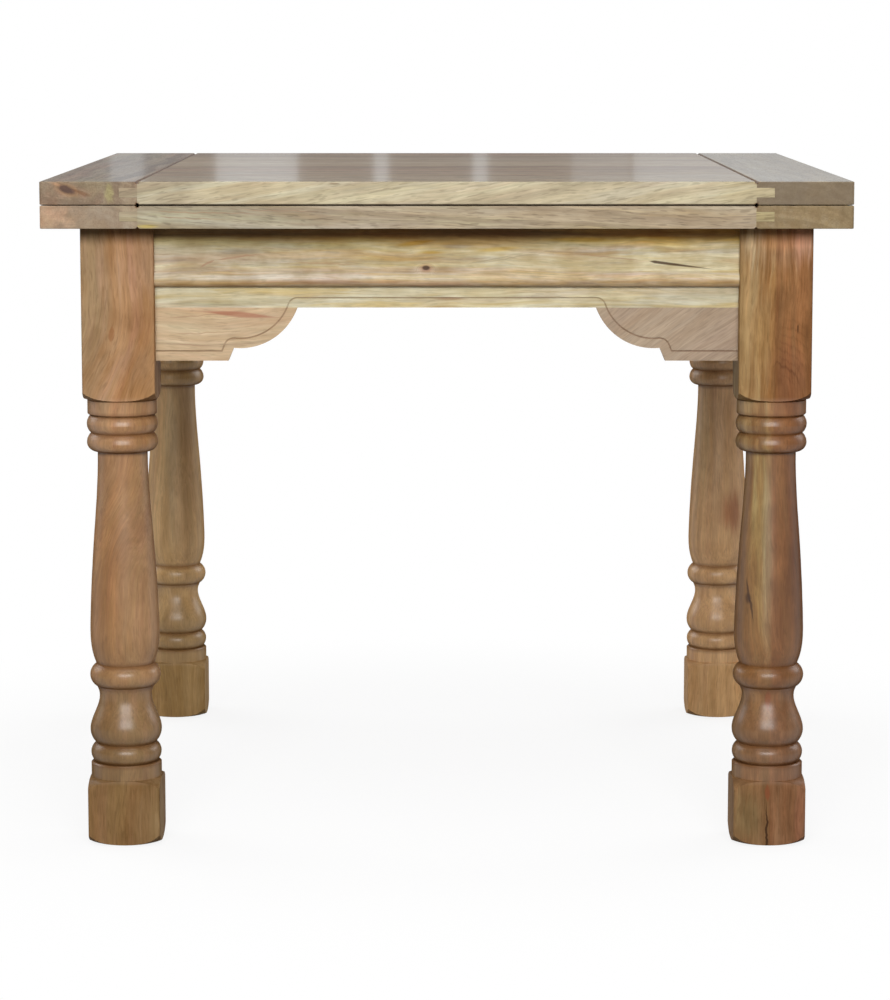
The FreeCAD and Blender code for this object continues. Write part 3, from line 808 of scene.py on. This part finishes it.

# %% [markdown]
# The back legs have few marks: two streaks and a foot darkened by painted shade on the left one, a dim red
# eye and a streak on the right one. All four then get the same wood with the grain upright, each with its
# own tones and seed.
# The front ones also have a sweep in their grain.

# %% Legs
leg_marks = {
    "front_left": left_leg_marks,
    "front_right": right_leg_marks,
    "back_left": (
        on_back_leg(-0.372, 0.35, 0.012, 0.14, honey, 0.45),
        on_back_leg(-0.35, 0.33, 0.012, 0.2, (150, 108, 62), 0.5),
        shaded_foot(-leg_axis, leg_axis, (136, 108, 66), 0.2, 0.6)),
    "back_right": (
        on_back_leg(0.3851, 0.281, 0.022, 0.035, (160, 100, 60), 0.8),
        on_back_leg(0.345, 0.38, 0.02, 0.1, honey, 0.4)),
}
leg_looks = {
    "front_left": dict(
        pale=(182, 140, 100), deep=(156, 116, 78), seed=3,
        sweeps=((-0.06, 0.1, 0.06), (0.14, 0.26, 0.035)),
        broad=((olive, 0.3), (amber, 0.3)), strips=((tan, 0.3), (umber, 0.1), (rose, 0.25))),
    "front_right": dict(
        pale=(154, 112, 68), deep=(126, 88, 50), seed=8, sweeps=((-0.3, 0.3, -0.02),),
        broad=((olive, 0.25), (rust, 0.2)), strips=((umber, 0.2), (amber, 0.2), (olive, 0.2))),
    "back_left": dict(
        pale=(214, 174, 122), deep=(190, 150, 98), seed=12,
        broad=((olive, 0.3), (amber, 0.2)), strips=((honey, 0.2), (umber, 0.1), (tan, 0.2))),
    "back_right": dict(
        pale=(211, 168, 119), deep=(189, 145, 97), seed=17,
        broad=((rust, 0.15), (olive, 0.2)), strips=((tan, 0.25), (umber, 0.1), (rose, 0.2))),
}
leg_wood = dict(grain="z", wander=0.022, rings=70.0, heart=(0.06, 0.045), figure=0.28, lines=0.2,
                years=(0.007, 0.08), fine_grain=0.5, polish=lathe_polish, rough=0.58, coat_rough=0.34,
                shine=0.05)
for corner, look in leg_looks.items():
    node = "leg_" + corner
    marks = leg_marks[corner] + (grooves, leaf_shadow_paint)
    dress(node, mango(node, marks=marks, **leg_wood, **look))
print("legs", {corner: len(marks) for corner, marks in leg_marks.items()})

# %% [markdown]
# The aprons and the rails under them are pale sapwood with yellow and grey streaks. On the front each mark
# has its own place: a knot in the middle, fine veins, a long dark check at the right. The bead is tinted
# paler with a painted highlight on it and painted shade below it, and a painted shadow darkens the apron
# where the leaf overhangs it.

# %% Front apron and rail
# Colours for the bead's tint, its painted highlight and painted shade, and for the painted shadow under the
# leaf.
bead_tint_and_highlight = (208, 194, 172)
bead_painted_shade = (200, 174, 127)
painted_top_shadow = (104, 54, 14)
painted_shadow_edge = (203, 181, 116)
apron_face = -0.4
rail_face = -0.394
on_apron = washes_at(apron_face, 1.0)
on_rail = washes_at(rail_face, 1.0)
front_marks = {
    "apron_front": (
        on_apron(-0.21, 0.686, 0.15, 0.012, lichen, 0.4),
        on_apron(-0.05, 0.659, 0.26, 0.0045, blush, 0.45),
        on_apron(-0.017, 0.679, 0.026, 0.0036, lemon, 0.9),
        on_apron(-0.037, 0.689, 0.024, 0.0034, lemon, 0.9, slant=-0.12),
        on_apron(0.054, 0.682, 0.036, 0.0042, lemon, 0.7, slant=-0.1),
        on_apron(0.15, 0.693, 0.05, 0.004, lemon, 0.8),
        on_apron(0.012, 0.6855, 0.024, 0.004, mist, 0.6),
        on_apron(-0.23, 0.68, 0.04, 0.004, mist, 0.5),
        on_apron(-0.27, 0.6775, 0.14, 0.015, (192, 176, 145), 0.9),
        on_apron(-0.14, 0.668, 0.11, 0.008, (193, 182, 161), 0.9),
        on_apron(0.29, 0.692, 0.065, 0.011, (186, 178, 172), 0.9),
        on_apron(0.216, 0.681, 0.08, 0.007, (225, 217, 189), 0.9),
        stroke((-0.279, 0.6615), (-0.258, 0.6715), 0.0016, vein, 0.6, 0.3, 0.3, 0.003),
        stroke((-0.262, 0.67), (-0.19, 0.6795), 0.0014, vein, 0.55, 0.2, 0.6, 0.003),
        stroke((-0.19, 0.669), (-0.08, 0.664), 0.0016, vein, 0.35, 0.4, 0.5, 0.004),
        stroke((0.015, 0.664), (0.09, 0.679), 0.0012, grey_vein, 0.5, 0.3, 0.5, 0.003),
        stroke((0.02, 0.664), (0.15, 0.686), 0.0012, grey_vein, 0.4, 0.3, 0.6, 0.004),
        stroke((0.12, 0.68), (0.226, 0.669), 0.0012, vein, 0.4, 0.5, 0.2, 0.002),
        knot((-0.0233, apron_face, 0.6614), (0.0042, 1.0, 0.0027)),
        # The bead is tinted paler, partly its own colour and partly a painted highlight, and its lower half
        # gets painted shade.
        strip_along(2, 0.659, 0.655, bead_tint_and_highlight, 0.9),
        strip_along(2, 0.6505, 0.646, bead_painted_shade, 1.0),
        # Painted shadow: these two strips darken the apron's top where the leaf overhangs it, and the two
        # washes after them make that painted shadow lighter at the right and darker in the middle.
        strip_along(2, 0.681, 0.697, painted_shadow_edge, 1.0),
        strip_along(2, 0.688, 0.7, painted_top_shadow, 0.74),
        on_apron(0.255, 0.7, 0.15, 0.022, (96, 73, 38), 1.0, 0.4, 0.8, (71, 55, 33)),
        on_apron(0.015, 0.7, 0.14, 0.022, (74, 52, 26), 0.9, 0.4, 0.8, (85, 68, 42)),
        stroke((0.2235, 0.6694), (0.33, 0.656), 0.0022, (70, 48, 32), 0.9, 0.1, 0.85)),
    "lower_rail_front": (
        on_rail(0.001, 0.6265, 0.024, 0.0022, tan, 0.6),
        on_rail(-0.25, 0.622, 0.08, 0.005, lichen, 0.5),
        on_rail(0.305, 0.631, 0.055, 0.016, (195, 186, 156), 0.9)),
}
print("front marks", {node: len(marks) for node, marks in front_marks.items()})

# %% [markdown]
# The other sides use the same woods in turn, so that no two neighbours match, and every rail keeps stain
# in its scratched line. The line is found from the rail's own box: its outer face is where the box ends.

# %% Aprons and rails
apron_looks = [
    dict(pale=(236, 228, 196), deep=(190, 172, 130), broad=((mist, 0.3), (straw, 0.4)),
         strips=((lemon, 0.5), (mist, 0.45), (blush, 0.4))),
    dict(pale=(222, 202, 164), deep=(182, 156, 114), broad=((honey, 0.3), (straw, 0.3)),
         strips=((mist, 0.1), (lemon, 0.2), (blush, 0.5)))]
rail_looks = [
    dict(pale=(232, 229, 208), deep=(200, 190, 160), broad=((lemon, 0.35), (mist, 0.25)),
         strips=((lemon, 0.45), (mist, 0.4), (tan, 0.3))),
    dict(pale=(226, 210, 174), deep=(190, 168, 128), broad=((honey, 0.25),),
         strips=((mist, 0.1), (lemon, 0.2), (blush, 0.4)))]
frame_wood = dict(heart=(0.13, 0.03), wander=0.014, figure=0.28)
frame_shine = 0.12
apron_seed = 22
rail_seed = 23
seeds_apart = 5
side_grain = {"front": "x", "right": "y", "back": "x", "left": "y"}
side_outward = {"front": (0, -1, 0), "right": (1, 0, 0), "back": (0, 1, 0), "left": (-1, 0, 0)}


def line_of(side):
    """The scratched line of one side's rail and brackets."""
    outward = Vector(side_outward[side])
    low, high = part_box("lower_rail_" + side)
    return incised(outward, max(low.dot(outward), high.dot(outward)))


for number, (side, grain) in enumerate(side_grain.items()):
    pairs = (("apron_" + side, apron_looks, apron_seed, ()),
             ("lower_rail_" + side, rail_looks, rail_seed, (line_of(side),)))
    for node, looks, first_seed, line in pairs:
        marks = front_marks.get(node, ()) + line
        dress(node, mango(node, grain=grain, seed=first_seed + seeds_apart * number, marks=marks,
                          shine=frame_shine, **frame_wood, **looks[number % 2]))
print("aprons and rails on", list(side_grain))

# %% [markdown]
# The brackets are redder offcuts. The one at the front left has a red lens and wavy veins, and its partner
# was sawn across, so that its grain runs slantwise. Leaning its log does that.

# %% Brackets
bracket_seed = 51
bracket_marks = {
    "bracket_front_left": (
        stroke((-0.296, 0.6138), (-0.17, 0.6035), 0.0046, (166, 106, 82), 0.7, 0.5, 0.5),
        on_rail(-0.26, 0.613, 0.085, 0.008, blush, 0.6),
        stroke((-0.325, 0.604), (-0.235, 0.611), 0.0009, vein, 0.5, 0.3, 0.6, 0.003),
        stroke((-0.325, 0.586), (-0.21, 0.5905), 0.0009, vein, 0.5, 0.3, 0.6, 0.004),
        stroke((-0.315, 0.576), (-0.25, 0.5725), 0.0009, vein, 0.4, 0.3, 0.6, 0.004),
        on_rail(-0.295, 0.588, 0.05, 0.014, (214, 194, 160), 0.6)),
}
bracket_looks = [
    dict(pale=(212, 188, 156), deep=(192, 164, 130), broad=((blush, 0.3), (straw, 0.3)),
         strips=((salmon, 0.1), (straw, 0.15), (blush, 0.15)), years=(0.01, 0.4),
         sweeps=((-0.08, -0.02, 0.004), (-0.01, 0.08, -0.006))),
    dict(pale=(182, 161, 137), deep=(162, 140, 117), broad=((mauve, 0.25),),
         strips=((mauve, 0.12), (mist, 0.1), (tan, 0.1)), lean=(0, -0.6, 0), lines=0.15, fine_grain=0.6)]
brackets = [node for node in nodes if node.startswith("bracket_")]
for number, node in enumerate(brackets):
    side = node.split("_")[1]
    marks = bracket_marks.get(node, ()) + (line_of(side),)
    dress(node, mango(node, grain=side_grain[side], seed=bracket_seed + number, heart=(0.09, 0.05),
                      shine=frame_shine, marks=marks, **bracket_looks[number % 2]))
print("brackets", len(brackets))

# %% [markdown]
# Each leaf is six boards between two end boards. A tongue on the boards runs in a groove of the end board,
# and its end shows at the front as a small pale block. Satin lacquer mirrors the room only where it is
# seen at a low angle: Layer Weight brings the coat in there, and from above the wood's own colour shows.

# %% Leaf joints and gloss
joint = 0.342
tongue_step = (0.0008, 0.0004)
upper_faces = (0.76, 0.7345)
lower_faces = (0.7335,)
least_coat = 0.05
low_angle_coat = 0.55
low_angle_step = (0.88, 0.95)


def seams(faces):
    return tuple(seam(side * joint, face) for side in (-1, 1) for face in faces)


def low_angle_gloss(here):
    return least_coat + low_angle_coat * fade(turned_away(here), *low_angle_step)


def tongue(side, tint, strength=1.0, ground=None):
    """The tongue at one end of a board takes a tint of its own."""
    before, after = tongue_step
    return strip_along(0, side * (joint - before), side * (joint + after), tint, strength, ground)


leaf_seams = {"upper": seams(upper_faces), "lower": seams(lower_faces)}
leaf_lacquer = dict(polish=low_angle_gloss, coat_rough=0.13, shine=0.15)
print("seams", {leaf: len(lines) for leaf, lines in leaf_seams.items()})

# %% [markdown]
# The boards run along the slide and the ends run across, so at the front the ends show their darker end
# grain beside the pale edge of the first board. Each edge has marks of its own: a knot at the upper left
# corner, a lemon streak under the lower board, and a line of painted shade along the gap.

# %% Leaf marks
leaf_face = -0.45
sap_edge = (190, 176, 146)
gap_shade = (52, 36, 18)
on_rim = washes_at(leaf_face, 0.02)
on_edge = washes_at(leaf_face, 0.06)
edge_marks = {
    "upper_board_1": (
        strip_along(1, -0.4475, -0.4492, sap_edge, 1.0),
        edge_line(0.7345, 0.0016, gap_shade, 0.75),
        on_rim(-0.335, 0.747, 0.085, 0.05, (171, 158, 133), 0.9, 0.5, 1.0, sap_edge),
        on_rim(0.345, 0.747, 0.06, 0.05, (181, 166, 132), 0.9, 0.4, 1.0, sap_edge),
        tongue(-1, (174, 157, 129), 0.95, sap_edge),
        tongue(1, (191, 177, 146), 1.0, sap_edge),
        on_rim(-0.1245, 0.758, 0.008, 0.0016, umber, 0.5, ground=sap_edge)),
    "lower_board_1": (
        on_edge(-0.27, 0.721, 0.17, 0.04, (163, 152, 129), 0.8, 0.5),
        on_edge(0.13, 0.721, 0.3, 0.04, (166, 148, 121), 0.8),
        stroke((-0.336, 0.7275), (-0.16, 0.7235), 0.0008, vein, 0.5, 0.2, 0.6, 0.004, leaf_face),
        stroke((-0.33, 0.7215), (-0.21, 0.717), 0.0008, vein, 0.4, 0.2, 0.6, 0.004, leaf_face),
        stroke((-0.26, 0.73), (-0.09, 0.7255), 0.0007, vein, 0.4, 0.3, 0.6, 0.004, leaf_face),
        edge_line(0.734, 0.0014, gap_shade, 0.75),
        tongue(-1, (164, 140, 114), 0.6),
        tongue(1, (171, 155, 116)),
        wash((-0.33, leaf_face, 0.711), (0.018, 0.03, 0.003), lemon, 0.7)),
    "upper_end_left": (
        wash((-0.41, leaf_face, 0.749), (0.03, 0.08, 0.01), (157, 124, 102), 0.5),
        on_edge(-0.35, 0.748, 0.016, 0.018, (178, 158, 131), 0.8),
        on_edge(-0.372, 0.748, 0.007, 0.016, (178, 168, 115), 0.6),
        on_edge(-0.428, 0.756, 0.018, 0.0025, blush, 0.6, slant=0.35),
        on_edge(-0.404, 0.748, 0.014, 0.003, (120, 84, 58), 0.6, slant=0.35),
        knot((-0.4195, leaf_face, 0.7512), (0.01, 0.03, 0.0046), (84, 64, 58), tan, 2.0, 0.35)),
    "lower_end_left": (
        wash((-0.45, leaf_face, 0.721), (0.05, 0.1, 0.03), blush, 0.6),
        on_edge(-0.348, 0.72, 0.02, 0.016, (176, 158, 132), 0.6)),
}
print("edge marks", {node: len(marks) for node, marks in edge_marks.items()})

# %% [markdown]
# The first board of each leaf shows its edge at the front, so it has a look of its own. The five behind it
# take three looks in turn, each with its log's heart in another place: one shows arches, another lines.

# %% Boards of the leaves
boards_in_leaf = 6
leaf_seeds = {"upper": 70, "lower": 90}
first_boards = {
    "upper": dict(
        pale=(178, 154, 120), deep=(158, 134, 102), broad=((honey, 0.2),),
        strips=((straw, 0.15), (mist, 0.12), (rose, 0.1)), lean=(0, -0.16, 0),
        heart=(0.05, -0.16), fine_grain=0.6, pores=0.35),
    "lower": dict(
        pale=(185, 168, 145), deep=(156, 137, 114), broad=((mist, 0.2), (honey, 0.2)),
        strips=((honey, 0.25), (mist, 0.2), (lichen, 0.2)), lean=(0, 0.05, 0),
        heart=(0.05, -0.16), fine_grain=0.6, pores=0.4),
}
board_looks = [
    dict(pale=(178, 150, 112), deep=(142, 113, 79), broad=((honey, 0.3), (mist, 0.2)),
         strips=((rose, 0.2), (umber, 0.15), (straw, 0.2)), heart=(0.02, -0.05)),
    dict(pale=(194, 170, 132), deep=(162, 136, 100), broad=((straw, 0.3), (rose, 0.2)),
         strips=((tan, 0.2), (umber, 0.1), (mist, 0.2)), heart=(-0.03, -0.035)),
    dict(pale=(168, 136, 100), deep=(132, 102, 72), broad=((olive, 0.2), (rose, 0.3)),
         strips=((honey, 0.25), (umber, 0.15), (straw, 0.2)), heart=(0.07, -0.12))]
for number in range(boards_in_leaf):
    for leaf, first_look in first_boards.items():
        node = f"{leaf}_board_{number + 1}"
        seed = leaf_seeds[leaf] + number
        look = board_looks[(number + seed) % len(board_looks)] if number else first_look
        marks = edge_marks.get(node, ()) + leaf_seams[leaf]
        dress(node, mango(node, seed=seed, figure=0.24, marks=marks, **leaf_lacquer, **look))
print("boards", boards_in_leaf * len(first_boards))

# %% [markdown]
# The end boards are the same wood turned a quarter. End grain soaks up more stain, and the upper right
# one drank most, so its end is the darkest.

# %% End boards
end_seed = 120
end_looks = {
    "upper_end_left": dict(pale=(167, 147, 123), deep=(130, 109, 89), broad=((lichen, 0.25), (rose, 0.3))),
    "upper_end_right": dict(pale=(168, 149, 122), deep=(144, 125, 100), broad=((mist, 0.15), (honey, 0.15)),
                            end_tone=(0.55, 0.73)),
    "lower_end_left": dict(pale=(176, 156, 131), deep=(154, 132, 108), broad=((rose, 0.2), (mist, 0.2))),
    "lower_end_right": dict(pale=(160, 139, 104), deep=(136, 115, 83), broad=((honey, 0.2), (mist, 0.2))),
}
end_wood = dict(grain="y", heart=(0.03, -0.13), strips=((mist, 0.1), (umber, 0.1), (straw, 0.1)),
                years=(0.007, 0.08))
for number, (node, look) in enumerate(end_looks.items()):
    leaf = node.split("_")[0]
    marks = edge_marks.get(node, ()) + leaf_seams[leaf]
    dress(node, mango(node, seed=end_seed + number, marks=marks, **end_wood, **leaf_lacquer, **look))
print("end boards", list(end_looks))

# %% [markdown]
# The pieces inside the frame are never lacquered: planed wood that has only seen a brush of oil. They take
# the same wood with a dry, rough surface.

# %% Inner wood
inner_seed = 140
inner_look = dict(pale=(206, 176, 132), deep=(168, 132, 90), broad=((straw, 0.3), (tan, 0.25)),
                  strips=((honey, 0.3), (cream, 0.25), (tan, 0.25)), heart=(0.04, -0.09), coat=0.0,
                  rough=0.55)
inner_starts = ("corner_block_f", "corner_block_b", "guide_rail_")
inner_pieces = [node for node in nodes if node.startswith(inner_starts)]
inner_pieces += ["runner_front", "runner_back", "runner_stops"]
for number, node in enumerate(inner_pieces):
    dress(node, mango(node, seed=inner_seed + number, **inner_look))
print("inner wood", len(inner_pieces))

# %% [markdown]
# Bolts, nuts and screws are zinc plated: a grey metal with cloudy crystals and fine turning marks. The
# hinges are brass, yellow where fingers rub it and brown where they don't. Both are metals, so the base
# colour is the colour of the reflection, and most of the look lies in how the roughness changes.

# %% Steel and brass
cloud_step = (0.36, 0.6)
metal_bump = 0.25
metal_relief = 0.0002
steel_nodes = ("hanger_bolts", "washers", "wing_nuts", "corner_block_screws", "runner_screws")
brass_nodes = [node for node in nodes if node.startswith("hinge_")]


def metal(name, dull, bright, clouds_per_metre, marks_per_metre, smooth):
    material, shader, here = new_finish(name)
    clouds = noise(here, clouds_per_metre, 3.0)
    fine_marks = noise(here, marks_per_metre, 2.0)
    colour = mix(srgb(dull), srgb(bright), fade(clouds, *cloud_step))
    roughness = smooth + 0.3 * fine_marks - 0.15 * clouds
    set_surface(shader, colour, roughness, fine_marks, metal_bump, metal_relief)
    shader.inputs["Metallic"].default_value = 1.0
    return material


zinc = metal("plated steel", (132, 134, 136), (198, 198, 194), (160, 160, 160), (500, 500, 1500), 0.34)
brass = metal("hinge brass", (140, 104, 50), (212, 174, 96), (60, 60, 60), (1400, 300, 300), 0.28)
for finish, metal_nodes in ((zinc, steel_nodes), (brass, brass_nodes)):
    for node in metal_nodes:
        dress(node, finish)
print("steel", len(steel_nodes), "brass", len(brass_nodes))

# %% [markdown]
# Felt strips on the frame's top edges let the leaf slide without scratching. Felt is pressed fibre: no
# direction, no shine, and a nap that catches light at the edge, which the shader's sheen gives.

# %% Felt
felt_dark = (58, 56, 52)
felt_light = (104, 100, 92)
tuft_waves = (220, 220, 220)
hair_waves = (1500, 1500, 1500)
nap_step = (0.4, 0.62)
felt_bump = 0.8
felt_relief = 0.0006
felt_sheen = 0.3


def grey_felt():
    material, shader, here = new_finish("glide felt")
    tufts = noise(here, tuft_waves, 3.0)
    hairs = noise(here, hair_waves, 2.0)
    nap = 0.6 * tufts + 0.4 * hairs
    colour = mix(srgb(felt_dark), srgb(felt_light), fade(nap, *nap_step))
    roughness = 0.85 + 0.15 * hairs
    set_surface(shader, colour, roughness, hairs, felt_bump, felt_relief)
    shader.inputs["Sheen Weight"].default_value = felt_sheen
    return material


dress("glide_strips", grey_felt())
print("felt on glide_strips")
